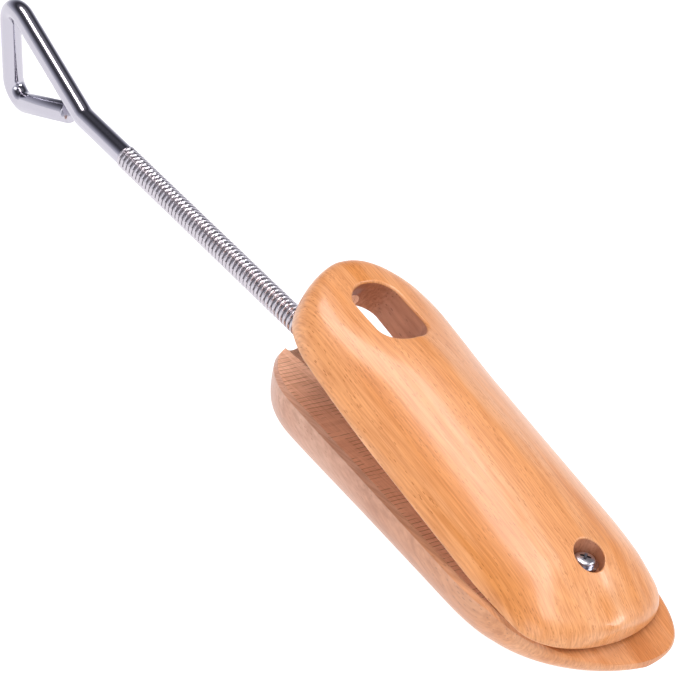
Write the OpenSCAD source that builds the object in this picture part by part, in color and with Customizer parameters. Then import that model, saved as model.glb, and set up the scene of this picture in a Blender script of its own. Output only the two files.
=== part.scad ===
// Instep stretcher for shoes and boots: two beech blocks that a screw spindle wedges apart.
// X points to the toe, Z points up, and the origin lies on the sole, under the middle of the lower block.
// The blocks are drawn open. The spindle leans up from its bearing near the toe, and a barrel nut
// that travels along it rides on two steel plates and pushes the upper block up.

/* [Lower block] */
// Length of the sole-shaped lower block
lower_len = 208.5; // [190:0.5:230]
// Thickness from the sole to the inner face
lower_t = 25.5; // [24.5:0.5:32]
// Half width that the heel rounding starts from
lower_heel_w = 19; // [17:0.5:24]
// Half width just ahead of the heel rounding
lower_back_w = 24.5; // [22:0.5:28]
// Half width at the waist
lower_waist_w = 30; // [26:0.5:34]
// Half width at the ball, the widest place
lower_ball_w = 37.5; // [34:0.5:41]
// Half width that the toe rounding starts from
lower_toe_w = 43; // [38:0.5:48]
// Length of the rounding at the heel end
lower_heel_round = 30.5; // [20:0.5:40]
// Length of the rounding at the toe end
lower_toe_round = 62; // [45:1:70]
// How far the sole rises under the tip of the toe
toe_spring = 13; // [6:0.5:13.5]
// How far the tip of the toe leans to the side, as in a sole for one foot
toe_lean = 11; // [-12:0.5:12]
// Squareness of the rounded lower edge
lower_edge_pow = 2.6; // [2.2:0.1:4]

/* [Upper block] */
// Length of the instep-shaped upper block
upper_len = 191; // [180:0.5:205]
// Half width at the heel end, before its rounding
upper_heel_w = 23; // [20:0.5:27]
// Half width over the instep
upper_mid_w = 37.25; // [34:0.25:40]
// Half width near the toe, before its rounding
upper_toe_w = 32.5; // [28:0.5:36]
// Height of the blunt heel end
upper_heel_h = 18.5; // [15:0.5:20]
// Height at the crown of the instep
upper_crown_h = 24; // [23:0.5:29]
// Height over the toe screw
upper_screw_h = 21; // [19.5:0.5:24]
// Height of the blunt toe end
upper_toe_h = 9.5; // [7:0.5:11]
// Distance of the crown from the heel end
crown_at = 72; // [60:1:90]
// Length of the rounding at the heel end
upper_heel_round = 20.5; // [15:0.5:30]
// Length of the rounding at the toe end
upper_toe_round = 19; // [15:1:30]
// Fullness of the cross section over the instep, 2 is an ellipse
upper_section_pow = 1.4; // [1.3:0.1:2.4]
// Fullness of the cross section at the heel end
upper_heel_pow = 2.9; // [2.4:0.1:5]
// Fullness of the cross section at the toe end
upper_toe_pow = 1.8; // [1.5:0.1:2.6]

/* [Finger slot] */
// Width of the slot through the upper block
slot_w = 22; // [19:0.5:23]
// Length of the slot
slot_len = 34; // [28:0.5:36]
// Wood left between the slot and the heel end
slot_from_heel = 16; // [14:0.5:18]
// Radius of the corners of the slot
slot_corner = 10; // [5:0.5:10]
// How far the slot's heel end leans back at the flat face
slot_lean = 7; // [0:0.5:8]

/* [Opening] */
// Angle between the blocks as drawn
open_angle = 11.8; // [8:0.1:13]
// Largest angle between the blocks
open_limit = 14.5; // [13.5:0.5:16]
// Distance of the rocking ridge from the heel end of the lower block
ridge_from_heel = 169.5; // [166:0.5:173]
// Height of the rocking axis over the inner face
axis_h = 11; // [9:0.5:13]
// Distance of the rocking axis from the heel end of the upper block
axis_in_upper = 159.5; // [157:0.5:162]
// Gap between faces that rest on each other
seat_gap = 0.3; // [0.2:0.05:0.4]

/* [Spindle] */
// Outside diameter of the thread
thread_d = 10; // [9:0.5:11]
// Travel of the nut in one turn
thread_pitch = 2.5; // [2:0.25:3]
// Diameter of the plain rod and of the bow
rod_d = 9.2; // [8:0.1:9.4]
// Length of the thread behind the heel end of the lower block
thread_out = 127.5; // [110:0.5:145]
// Plain length between the thread and the bow
plain_len = 34; // [25:1:45]
// Half length of the bow's cross side, between its corners
bow_half = 29.0; // [20:0.5:31]
// Height of the bow's triangle
bow_h = 59.5; // [42:0.5:60]
// Bend radius in the bow's corners
bow_bend = 8.5; // [5:0.5:9]
// Turn of the bow about the rod, from flat
bow_turn = -76; // [-180:2:180]
// Diameter of the turned end in the bearing
neck_d = 7; // [6:0.5:7.5]
// Running clearance all round a shaft
run_gap = 0.08; // [0.05:0.01:0.1]

/* [Bearing and nut] */
// Height of the bearing's axis over the inner face
bearing_h = 3; // [2:0.25:4]
// Distance of the bearing from the heel end of the lower block
bearing_from_heel = 149.5; // [147:0.5:150.5]
// Share of the opening angle that the spindle leans by
lean_share = 0.24; // [0.22:0.01:0.26]
// Length of the bearing block along the spindle
bearing_len = 12; // [10:0.5:13]
// Height of the bearing block
bearing_block_h = 12; // [11:0.5:13]
// Diameter of the bearing's trunnions
trunnion_d = 6; // [5:0.25:7]
// Thickness of the bracket's sheet
bracket_t = 2.3; // [2:0.1:2.6]
// Diameter of the barrel nut
nut_d = 18; // [16:0.5:19]
// Distance of the nut from the bearing as drawn
nut_at = 46.3; // [45:0.1:48]
// Travel of the nut for each degree of opening
nut_rate = 1.84; // [1.75:0.01:1.86]
// Thickness of the two plates that the nut rides on
plate_t = 2; // [1.5:0.1:2.5]
// Width of the channel that holds the works
channel_w = 21; // [20:0.5:22]
// Play between the works and the channel's sides
side_gap = 0.3; // [0.2:0.05:0.4]

/* [Fasteners] */
// Diameter of the toe screw's shank
toe_screw_d = 4; // [3.5:0.1:5]
// Diameter of the toe screw's head
toe_head_d = 8; // [7:0.25:8.5]
// Height of the toe screw's head
toe_head_h = 2.6; // [2.2:0.1:3]
// Diameter of the counterbore over the toe screw
counterbore_d = 13; // [12.5:0.5:14]
// Height of the counterbore's floor over the upper block's flat face
counterbore_z = 12; // [11:0.5:13]
// Distance of the toe screw ahead of the rocking axis
toe_screw_ahead = 5; // [3.5:0.5:6]
// Diameter of the toe washer
toe_washer_d = 11; // [10:0.5:11.5]
// Thickness of the washers
washer_t = 1; // [0.8:0.1:1.2]
// Diameter of the small countersunk wood screws
small_screw_d = 3; // [2.6:0.1:3.5]
// Length of the small countersunk wood screws
small_screw_len = 6; // [5:0.5:6.5]

/* [Hidden] */

wood = "burlywood";
steel = "silver";
zinc = "lightsteelblue";

// Places along X and Z that both blocks share
heel_x = -lower_len / 2;
face_z = lower_t;
axis_x = heel_x + ridge_from_heel + axis_h * tan(open_limit / 2);
axis_z = face_z + axis_h;
bearing_x = heel_x + bearing_from_heel;
bearing_z = face_z + bearing_h;
bevel_spare = 0.8;
bevel_angle = open_limit + bevel_spare;
lean = lean_share * open_angle;
upper_axis_z = axis_h - seat_gap;

// Sizes that follow from the fits
bore_play = 0.5;
bore_r = thread_d / 2 + bore_play;
nut_r = nut_d / 2;
works_half = channel_w / 2 - side_gap;
neck_r = neck_d / 2;
collar_rim = 1;
collar_r = thread_d / 2 + collar_rim;
collar_len = 6;
neck_spare = 1;
cheek_rim = 4;
cheek_r = trunnion_d / 2 + cheek_rim;
block_half = works_half - bracket_t - side_gap;
under_block = 1.6;
bracket_floor = bearing_block_h / 2 + under_block;
bracket_ear = 12;
bracket_reach = bearing_len / 2 + bracket_ear;
screw_from_end = 4.5;
cut = 1;
steps = 56;
ring = 26;

// Smooth curve through stations [x, value], with the slope at each taken from its neighbours
function station(p, x, i = 0) = (i >= len(p) - 2 || x < p[i + 1][0]) ? i : station(p, x, i + 1);
function rise(p, i, j) = (p[j][1] - p[i][1]) / (p[j][0] - p[i][0]);
function slope(p, i) =
  i == 0 ? rise(p, 0, 1) :
  i == len(p) - 1 ? rise(p, i - 1, i) :
  rise(p, i - 1, i) * rise(p, i, i + 1) <= 0 ? 0 :
  2 / (1 / rise(p, i - 1, i) + 1 / rise(p, i, i + 1));
function curve(p, x) =
  let (i = station(p, x), h = p[i + 1][0] - p[i][0], t = (x - p[i][0]) / h)
  p[i][1] * (1 + 2 * t) * pow(1 - t, 2) + h * slope(p, i) * t * pow(1 - t, 2)
  + p[i + 1][1] * t * t * (3 - 2 * t) - h * slope(p, i + 1) * t * t * (1 - t);

// Rounding of a block's end: 1 along the block, falling to 0 over the last length r
function round_end(d, r, n = 2.3) = d >= r ? 1 : pow(1 - pow((r - d) / r, n), 1 / n);
function both_ends(x, len_x, r0, r1) = round_end(x, r0) * round_end(len_x - x, r1);

// Stations along a block, closer together at its ends
first_angle = 1.5;
function along(len_x) = [for (i = [0 : steps])
  len_x * (1 - cos(first_angle + i * (180 - 2 * first_angle) / steps)) / 2];
function sign_pow(v, e) = sign(v) * pow(abs(v), e);

// Solid through rings of equal count, closed by a flat face at each end
module loft(rings) {
  n = len(rings[0]);
  m = len(rings);
  side = [for (i = [0 : m - 2]) for (j = [0 : n - 1])
    [i * n + j, i * n + (j + 1) % n, (i + 1) * n + (j + 1) % n, (i + 1) * n + j]];
  polyhedron(
    points = [for (r = rings) each r],
    faces = concat([[for (j = [n - 1 : -1 : 0]) j]], side, [[for (j = [0 : n - 1]) (m - 1) * n + j]]),
    convexity = 6);
}

// Outline of the upper block: half width and crest height at a distance from its heel end
upper_plan = [
  [0, upper_heel_w], [upper_len * 0.18, (upper_heel_w + 5 * upper_mid_w) / 6],
  [upper_len * 0.45, upper_mid_w], [upper_len * 0.75, upper_mid_w], [upper_len, upper_toe_w]];
heel_rise = 0.06;
toe_share = 0.25;
upper_crest = [
  [0, upper_heel_h], [crown_at * 0.35, upper_heel_h + (upper_crown_h - upper_heel_h) * heel_rise],
  [crown_at, upper_crown_h], [axis_in_upper, upper_screw_h],
  [upper_len - 10, upper_toe_h + (upper_screw_h - upper_toe_h) * toe_share], [upper_len, upper_toe_h]];
function upper_w(x) = curve(upper_plan, x) * both_ends(x, upper_len, upper_heel_round, upper_toe_round);
end_tuck = 0.3;
end_tuck_len = 9;
function drawn_in(d) = 1 - end_tuck * (1 - round_end(d, end_tuck_len));
function upper_h(x) = curve(upper_crest, x) * drawn_in(x) * drawn_in(upper_len - x);
upper_full = [[0, upper_heel_pow], [crown_at, upper_section_pow], [upper_len, upper_toe_pow]];
function upper_pow(x) = curve(upper_full, x);
function upper_ring(x) = concat(
  [[x, -upper_w(x), -cut]],
  [for (j = [0 : ring]) let (a = 180 - 180 * j / ring)
    [x, upper_w(x) * sign_pow(cos(a), 2 / upper_pow(x)),
      upper_h(x) * pow(abs(sin(a)), 2 / upper_pow(x))]],
  [[x, upper_w(x), -cut]]);

// Outline of the lower block, from its heel end, with the ring drawn from the inner face down
lower_plan = [
  [0, lower_heel_w], [lower_len * 0.15, lower_back_w], [lower_len * 0.4, lower_waist_w],
  [lower_len * 0.74, lower_ball_w], [lower_len, lower_toe_w]];
function lower_w(x) = curve(lower_plan, x) * both_ends(x, lower_len, lower_heel_round, lower_toe_round);
spring_from = 0.69;
function sole_rise(x) = x < spring_from * lower_len ? 0 :
  toe_spring * pow((x / lower_len - spring_from) / (1 - spring_from), 2);
heel_tuck = 5;
heel_tuck_len = 16;
function lower_depth(x) = (lower_t + cut - sole_rise(x))
  * (1 - (heel_tuck / lower_t) * (1 - round_end(x, heel_tuck_len)));
// Ahead of the ridge the section hangs from just over the bevel, so that the toe keeps its full width there
over_bevel = 0.2;
lean_from = 0.77;
function toe_side(x) = toe_lean * pow(max(0, x / lower_len - lean_from) / (1 - lean_from), 2);
function bevel_drop(x) = max(0, (x - ridge_from_heel) * tan(bevel_angle) - over_bevel);
function lower_ring(x) = concat(
  [[heel_x + x, toe_side(x) + lower_w(x), face_z + cut]],
  [for (j = [0 : ring]) let (a = 180 * j / ring)
    [heel_x + x, toe_side(x) + lower_w(x) * sign_pow(cos(a), 2 / lower_edge_pow),
      face_z - bevel_drop(x) - (lower_depth(x) - bevel_drop(x)) * pow(abs(sin(a)), 2 / lower_edge_pow)]],
  [[heel_x + x, toe_side(x) - lower_w(x), face_z + cut]]);

// Where the nut is at an opening angle: in the lower block's frame, and seen from the upper block
function nut_dist(open) = nut_at + (open_angle - open) * nut_rate;
function nut_pos(open) = [
  bearing_x - nut_dist(open) * cos(lean_share * open),
  bearing_z + nut_dist(open) * sin(lean_share * open)];
function in_upper(p, open) =
  let (dx = p[0] - axis_x, dz = p[1] - axis_z)
  [axis_in_upper + dx * cos(open) - dz * sin(open), upper_axis_z + dx * sin(open) + dz * cos(open)];
function nut_in_upper(open) = in_upper(nut_pos(open), open);
function unit(v) = v / norm(v);
function across(v) = [-v[1], v[0]];

// The lower plate is flat and touches the nut's path at its two ends
slide_a = nut_pos(0);
slide_b = nut_pos(open_limit);
slide_dir = unit(slide_b - slide_a);
slide_tilt = atan2(slide_dir[1], slide_dir[0]);
slide_len = norm(slide_b - slide_a);
slide_end = 13;

// The upper plate is bent so that its face keeps to the nut over the whole travel
ramp_steps = 14;
ramp_path = [for (i = [0 : ramp_steps]) nut_in_upper(open_limit * i / ramp_steps)];
function ramp_dir(i) = unit(ramp_path[min(i + 1, ramp_steps)] - ramp_path[max(i - 1, 0)]);
function ramp_off(i, d) = ramp_path[i] + across(ramp_dir(i)) * d;
ramp_heel_tail = 9;
ramp_toe_tail = 3;
function ramp_face(d) = concat(
  [ramp_off(0, d) - ramp_dir(0) * ramp_heel_tail], [for (i = [0 : ramp_steps]) ramp_off(i, d)],
  [ramp_off(ramp_steps, d) + ramp_dir(ramp_steps) * ramp_toe_tail]);
function backward(v) = [for (i = [len(v) - 1 : -1 : 0]) v[i]];

// Places a child drawn in the upper block's own frame
module upper_frame() {
  translate([axis_x, 0, axis_z]) rotate([0, open_angle, 0])
    translate([-axis_in_upper, 0, -upper_axis_z]) children();
}

// Places a child drawn with the bearing at the origin and the spindle along X
module spindle_frame() {
  translate([bearing_x, 0, bearing_z]) rotate([0, lean, 0]) children();
}

// Cylinders along X and Y, from a start, and a box by its corners
module x_rod(r, x0, x1) {
  translate([x0, 0, 0]) rotate([0, 90, 0]) cylinder(r = r, h = x1 - x0, $fn = 64);
}
module y_rod(r, half) {
  translate([0, half, 0]) rotate([90, 0, 0]) cylinder(r = r, h = 2 * half, $fn = 64);
}
module span(a, b) {
  translate(a) cube(b - a);
}

// Countersunk wood screw with a cross recess, its top at the origin, and the hole that it sits in
small_r = small_screw_d / 2;
small_head_r = small_screw_d;
small_head_h = small_screw_d * 0.6;
point_r = 0.3;
recess_w = 0.6;
recess_depth = 1;
hole_spare = 2;
module cross_recess(half, width, depth) {
  for (a = [0, 90]) rotate([0, 0, a]) span([-half, -width / 2, -depth], [half, width / 2, cut]);
}
module small_screw() {
  difference() {
    union() {
      translate([0, 0, -small_head_h]) cylinder(r1 = small_r, r2 = small_head_r, h = small_head_h, $fn = 32);
      translate([0, 0, -small_screw_len]) cylinder(r = small_r, h = small_screw_len - small_head_h, $fn = 32);
      translate([0, 0, -small_screw_len - small_r])
        cylinder(r1 = point_r, r2 = small_r, h = small_r, $fn = 32);
    }
    cross_recess(small_head_r * 0.6, recess_w, recess_depth);
  }
}
module small_hole() {
  translate([0, 0, -small_head_h]) cylinder(r1 = small_r, r2 = small_head_r, h = small_head_h, $fn = 32);
  cylinder(r = small_head_r, h = cut, $fn = 32);
  translate([0, 0, -small_screw_len - hole_spare])
    cylinder(r = small_r, h = small_screw_len + hole_spare, $fn = 32);
}

// Frame of the slide plate: X along its face, the origin under the nut's closed place
module slide_frame() {
  translate([slide_a[0], 0, slide_a[1]]) rotate([0, -slide_tilt, 0])
    translate([0, 0, -nut_r - seat_gap]) children();
}
slide_screw_x = [-slide_end + screw_from_end, slide_len + slide_end - screw_from_end];
module slide_screw_places() {
  for (x = slide_screw_x) slide_frame() translate([x, 0, 0]) children();
}

bracket_screw_x = [-bracket_reach + screw_from_end, bracket_reach - screw_from_end];
bracket_base_z = bearing_z - bracket_floor;
module bracket_screw_places() {
  for (x = bracket_screw_x) translate([bearing_x + x, 0, bracket_base_z]) children();
}

// Toe screw: its washer stays just clear of the counterbore's floor at every opening
toe_screw_x = axis_x + toe_screw_ahead;
washer_lift = 0.6;
washer_z = axis_z + counterbore_z - upper_axis_z + washer_lift;
head_z = washer_z + washer_t;
toe_screw_end = face_z - 13;
toe_rim_h = toe_head_h * 0.55;
toe_recess_half = toe_head_d * 0.3;

module lower_block() {
  color(wood) difference() {
    loft([for (x = along(lower_len)) lower_ring(x)]);
    // flat sole and flat inner face
    span([heel_x - cut, -lower_len, -lower_t], [-heel_x + cut, lower_len, 0]);
    span([heel_x - cut, -lower_len, face_z], [-heel_x + cut, lower_len, face_z + lower_t]);
    // bevel ahead of the rocking ridge
    translate([heel_x + ridge_from_heel, 0, face_z]) rotate([0, bevel_angle, 0])
      span([0, -lower_len, 0], [lower_len, lower_len, lower_t]);
    // half-round groove that the spindle lies in when the blocks are shut
    translate([0, 0, bearing_z]) x_rod(bore_r, heel_x - cut, bearing_x);
    // seat of the slide plate
    slide_frame() span([-slide_end - side_gap, -channel_w / 2, -plate_t],
      [slide_len + slide_end + side_gap, channel_w / 2, lower_t]);
    // seat of the bearing bracket
    span([bearing_x - bracket_reach - side_gap, -channel_w / 2, bracket_base_z - bracket_t],
      [bearing_x + bracket_reach + side_gap, channel_w / 2, face_z + cut]);
    slide_screw_places() small_hole();
    bracket_screw_places() small_hole();
    translate([toe_screw_x, 0, toe_screw_end - hole_spare]) cylinder(d = toe_screw_d, h = lower_t, $fn = 48);
  }
}

module slide_plate() {
  color(steel) difference() {
    slide_frame() span([-slide_end, -works_half, -plate_t], [slide_len + slide_end, works_half, 0]);
    slide_screw_places() small_hole();
  }
}

module slide_plate_screws() {
  color(zinc) slide_screw_places() small_screw();
}

module bearing_bracket() {
  color(steel) difference() {
    union() {
      span([bearing_x - bracket_reach, -works_half, bracket_base_z - bracket_t],
        [bearing_x + bracket_reach, works_half, bracket_base_z]);
      for (s = [-1, 1]) translate([bearing_x, s * (works_half - bracket_t / 2), bearing_z]) {
        y_rod(cheek_r, bracket_t / 2);
        span([-cheek_r, -bracket_t / 2, -bracket_floor - bracket_t / 2], [cheek_r, bracket_t / 2, 0]);
      }
    }
    translate([bearing_x, 0, bearing_z]) y_rod(trunnion_d / 2 + run_gap, channel_w);
    bracket_screw_places() small_hole();
  }
}

module bracket_screws() {
  color(zinc) bracket_screw_places() small_screw();
}

module toe_screw() {
  color(zinc) translate([toe_screw_x, 0, 0]) difference() {
    union() {
      translate([0, 0, toe_screw_end]) cylinder(d = toe_screw_d, h = head_z + cut - toe_screw_end, $fn = 48);
      translate([0, 0, head_z]) cylinder(d = toe_head_d, h = toe_rim_h, $fn = 48);
      translate([0, 0, head_z + toe_rim_h])
        cylinder(d1 = toe_head_d, d2 = toe_head_d * 0.62, h = toe_head_h - toe_rim_h, $fn = 48);
    }
    translate([0, 0, head_z + toe_head_h]) rotate([0, 0, 45]) cross_recess(toe_recess_half, 1, 1.6);
  }
}

module toe_washer() {
  color(zinc) translate([toe_screw_x, 0, washer_z]) difference() {
    cylinder(d = toe_washer_d, h = washer_t, $fn = 64);
    translate([0, 0, -cut]) cylinder(d = toe_screw_d, h = washer_t + 2 * cut, $fn = 48);
  }
}

module bearing_block() {
  color(steel) difference() {
    union() {
      spindle_frame() span([-bearing_len / 2, -block_half, -bearing_block_h / 2],
        [bearing_len / 2, block_half, bearing_block_h / 2]);
      translate([bearing_x, 0, bearing_z]) y_rod(trunnion_d / 2, works_half);
    }
    spindle_frame() x_rod(neck_r + run_gap, -bearing_len, bearing_len);
  }
}

// The thrust faces along the spindle, ahead of and behind the bearing block
thrust_x = bearing_len / 2 + seat_gap;
shoulder_x = -thrust_x - washer_t;
collar_x = thrust_x + washer_t;
thread_back = -bearing_from_heel / cos(lean) - thread_out;
rod_r = rod_d / 2;
tip_bend = 12.0;
bow_end_gap = 2.2;

// The rod bends into the bow and ends beside the first bend: straight lengths, each with the bend after it
leg_angle = atan2(bow_half, bow_h);
corner_turn = 90 + leg_angle;
leg_len = norm([bow_half, bow_h]);
function trim(bend, t) = bend * tan(t / 2);
bow_path = [
  [plain_len - trim(tip_bend, leg_angle), leg_angle, tip_bend],
  [leg_len - trim(tip_bend, leg_angle) - trim(bow_bend, corner_turn), -corner_turn, bow_bend],
  [2 * bow_half - 2 * trim(bow_bend, corner_turn), -corner_turn, bow_bend],
  [leg_len - trim(bow_bend, corner_turn) - rod_r / sin(leg_angle) - bow_end_gap, 0, 0]];
// Elbows are a hair thicker than the straight lengths, so that the ends of those stay buried in them
elbow_r = rod_r + 0.03;
rod_lap = 0.5;
module elbow(bend, turn) {
  translate([0, sign(turn) * bend, 0]) rotate([0, 0, turn > 0 ? -90 : 90 + turn])
    rotate_extrude(angle = abs(turn), $fn = 96) translate([bend, 0]) circle(r = elbow_r, $fn = 48);
}
module bent_rod(path, i = 0) {
  straight = path[i][0];
  turn = path[i][1];
  bend = path[i][2];
  x_rod(rod_r, -rod_lap, straight + (bend > 0 ? rod_lap : 0));
  if (bend > 0) translate([straight, 0, 0]) {
    elbow(bend, turn);
    translate([bend * sin(abs(turn)), sign(turn) * bend * (1 - cos(turn)), 0]) rotate([0, 0, turn])
      bent_rod(path, i + 1);
  }
}

pin_r = 1.25;
pin_out = 0.5;
pin_x = collar_x + collar_len / 2;

module spindle() {
  color(steel) spindle_frame() difference() {
    union() {
      x_rod(thread_d / 2, thread_back, shoulder_x);
      x_rod(neck_r, shoulder_x - cut, collar_x + collar_len + neck_spare);
      translate([thread_back, 0, 0]) rotate([bow_turn, 0, 0]) rotate([0, 0, 180]) bent_rod(bow_path);
    }
    translate([pin_x, 0, 0]) y_rod(pin_r, channel_w);
  }
}

module thrust_washers() {
  color(zinc) spindle_frame() for (x = [shoulder_x, thrust_x]) difference() {
    x_rod(collar_r, x, x + washer_t);
    x_rod(neck_r + run_gap, x - cut, x + washer_t + cut);
  }
}

module retaining_collar() {
  color(steel) spindle_frame() difference() {
    x_rod(collar_r, collar_x, collar_x + collar_len);
    x_rod(neck_r, collar_x - cut, collar_x + collar_len + cut);
    translate([pin_x, 0, 0]) y_rod(pin_r, channel_w);
  }
}

module collar_pin() {
  color(zinc) spindle_frame() translate([pin_x, 0, 0]) y_rod(pin_r, collar_r + pin_out);
}

module barrel_nut() {
  color(zinc) spindle_frame() difference() {
    translate([-nut_at, 0, 0]) y_rod(nut_r, works_half);
    x_rod(thread_d / 2 + run_gap, -nut_at - nut_r - cut, -nut_at + nut_r + cut);
  }
}

// Slot outline, and the slot with its heel end leaning back
module slot_shape(lean) {
  x0 = slot_from_heel - lean;
  x1 = slot_from_heel + slot_len;
  translate([x0 + slot_corner, -slot_w / 2]) square([x1 - x0 - 2 * slot_corner, slot_w]);
  translate([x0, -slot_w / 2 + slot_corner]) square([x1 - x0, slot_w - 2 * slot_corner]);
  for (x = [x0 + slot_corner, x1 - slot_corner]) for (s = [-1, 1])
    translate([x, s * (slot_w / 2 - slot_corner)]) circle(r = slot_corner, $fn = 64);
}

module slot_hole() {
  linear_extrude(upper_len) slot_shape(0);
  hull() {
    translate([0, 0, -cut]) linear_extrude(cut) slot_shape(slot_lean);
    translate([0, 0, upper_heel_h]) linear_extrude(cut) slot_shape(0);
  }
}

// The ramp plate is a fork over the spindle, held by two screws through its bridge at the heel end
ramp_screw_y = 5.5;
module ramp_screw_places() {
  dir = ramp_dir(0);
  at = ramp_off(0, nut_r + seat_gap) - dir * (ramp_heel_tail - screw_from_end);
  for (s = [-1, 1]) translate([at[0], s * ramp_screw_y, at[1]])
    rotate([0, -atan2(dir[1], dir[0]), 0]) rotate([180, 0, 0]) children();
}

module ramp_shape(d0, d1) {
  polygon(concat(ramp_face(d0), backward(ramp_face(d1))));
}
module ramp_solid(d0, d1, w) {
  translate([0, w / 2, 0]) rotate([90, 0, 0]) linear_extrude(w) ramp_shape(d0, d1);
}

swing = 2;
shank_hole_r = toe_screw_d / 2 + 1.3;
shank_room_r = toe_screw_d / 2 + 2.75;
shank_room_ahead = 1.4;
shank_room_top = counterbore_z - 4;
module upper_block() {
  bearing_in = in_upper([bearing_x, bearing_z], 0);
  color(wood) upper_frame() difference() {
    loft([for (x = along(upper_len)) upper_ring(x)]);
    span([-cut, -upper_len, -upper_len], [upper_len + cut, upper_len, 0]);
    slot_hole();
    // groove over the spindle
    translate([0, 0, bearing_in[1]]) x_rod(bore_r, -cut, bearing_in[0]);
    span([-cut, -bore_r, -cut], [bearing_in[0], bore_r, bearing_in[1]]);
    // room for the nut and the seat of the ramp plate
    ramp_solid(-nut_d, nut_r + seat_gap + plate_t, channel_w);
    // room for the bearing bracket
    span([bearing_in[0] - bracket_reach - swing, -channel_w / 2 - side_gap, -cut],
      [bearing_in[0] + bracket_reach + swing, channel_w / 2 + side_gap, bearing_in[1] + cheek_r + swing]);
    ramp_screw_places() small_hole();
    // toe screw: counterbore, neck, and room for the shank to lean
    translate([axis_in_upper + toe_screw_ahead, 0, 0]) {
      translate([0, 0, counterbore_z]) cylinder(d = counterbore_d, h = upper_len, $fn = 96);
      translate([0, 0, -cut]) cylinder(r = shank_hole_r, h = upper_len, $fn = 48);
      translate([shank_room_ahead, 0, -cut]) cylinder(r = shank_room_r, h = shank_room_top + cut, $fn = 48);
    }
  }
}

module ramp_plate() {
  color(steel) upper_frame() difference() {
    ramp_solid(nut_r + seat_gap, nut_r + seat_gap + plate_t, 2 * works_half);
    span([ramp_off(0, nut_r)[0] + cut, -bore_r, -upper_len], [upper_len, bore_r, upper_len]);
    ramp_screw_places() small_hole();
  }
}

module ramp_plate_screws() {
  color(zinc) upper_frame() ramp_screw_places() small_screw();
}

lower_block();
slide_plate();
slide_plate_screws();
bearing_bracket();
bracket_screws();
toe_screw();
toe_washer();
bearing_block();
spindle();
thrust_washers();
retaining_collar();
collar_pin();
barrel_nut();
upper_block();
ramp_plate();
ramp_plate_screws();
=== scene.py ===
import math
import bmesh
import bpy
import numpy as np
from mathutils import Matrix, Vector


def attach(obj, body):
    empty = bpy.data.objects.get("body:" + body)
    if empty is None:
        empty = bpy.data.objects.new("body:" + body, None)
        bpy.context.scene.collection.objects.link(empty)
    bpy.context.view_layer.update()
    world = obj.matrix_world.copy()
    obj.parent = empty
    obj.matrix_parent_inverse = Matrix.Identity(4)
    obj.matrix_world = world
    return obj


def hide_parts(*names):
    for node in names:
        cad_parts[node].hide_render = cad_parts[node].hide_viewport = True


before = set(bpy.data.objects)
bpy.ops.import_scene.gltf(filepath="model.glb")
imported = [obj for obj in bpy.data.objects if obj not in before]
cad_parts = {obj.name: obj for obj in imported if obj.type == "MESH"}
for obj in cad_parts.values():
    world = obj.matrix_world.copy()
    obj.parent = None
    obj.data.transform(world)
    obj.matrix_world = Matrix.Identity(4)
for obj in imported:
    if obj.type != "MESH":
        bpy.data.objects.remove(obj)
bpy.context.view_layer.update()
mm = 0.001

# Sizes in millimetres and angles in degrees: those of the solids, with what only the drawn form needs
lowerBlock = {
    "length": 208.5, "thickness": 25.5, "halfWidths": (19.0, 24.5, 30.0, 37.5, 43.0),
    "widthPlaces": (0.0, 0.15, 0.4, 0.74, 1.0), "heelRound": 30.5, "toeRound": 62.0,
    "toeSpring": 13.0, "springFrom": 0.69, "edgePower": 2.6, "toeLean": 11.0, "leanFrom": 0.77,
    "heelTuck": 5.0, "heelTuckLength": 16.0, "edgeEase": 1.6, "soleCut": 1.0, "bevelStock": 0.2,
}
upperBlock = {
    "length": 191.0, "halfWidths": (23.0, 34.875, 37.25, 37.25, 32.5),
    "widthPlaces": (0.0, 0.18, 0.45, 0.75, 1.0),
    "heights": (18.5, 18.83, 24.0, 21.0, 12.375, 9.5), "heightPlaces": (0.0, 25.2, 72.0, 159.5, 181.0, 191.0),
    "heelRound": 20.5, "toeRound": 19.0, "sectionPowers": (2.9, 1.4, 1.8), "powerPlaces": (0.0, 72.0, 191.0),
    "lip": 1.4, "edgeEase": 1.2, "heelTuck": 0.3, "toeTuck": 0.3, "tuckLength": 9.0,
}
section = {"flatPoints": 10, "easeShare": 0.4}
opening = {
    "angle": 11.8, "limit": 14.5, "ridgeFromHeel": 169.5, "axisHeight": 11.0, "axisInUpper": 159.5,
    "seatGap": 0.3, "bevelSpare": 0.8,
}
slot = {"width": 22.0, "length": 34.0, "fromHeel": 16.0, "corner": 10.0, "lean": 7.4}
spindle = {
    "threadDiameter": 10.0, "pitch": 2.5, "threadDepth": 1.15, "rodDiameter": 9.2, "threadOut": 127.5,
    "plainLength": 34.0, "bowHalf": 29.0, "bowHeight": 59.5, "bowBend": 8.5, "tipBend": 12.0,
    "bowTurn": -76.0, "endGap": 2.2, "neckDiameter": 7.0, "bearingHeight": 3.0, "bearingFromHeel": 149.5,
    "leanShare": 0.24, "bearingLength": 12.0, "washer": 1.0, "collar": 6.0, "neckSpare": 1.0,
    "threadLevel": 0.56, "threadSwing": 0.62, "overlap": 1.0,
}
works = {
    "channelWidth": 21.0, "nutDiameter": 18.0, "nutAt": 46.3, "nutRate": 1.84, "plate": 2.0, "slideEnd": 13.0,
    "heelTail": 9.0, "toeTail": 3.0, "boreRadius": 5.5, "bracketReach": 18.0, "bracketFloor": 7.6,
    "bracketSheet": 2.3, "cheek": 7.0, "swing": 2.0, "sideGap": 0.3, "nutRoomSpare": 0.6,
    "seatHeight": 27.0, "bracketRoom": 20.0,
}
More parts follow.
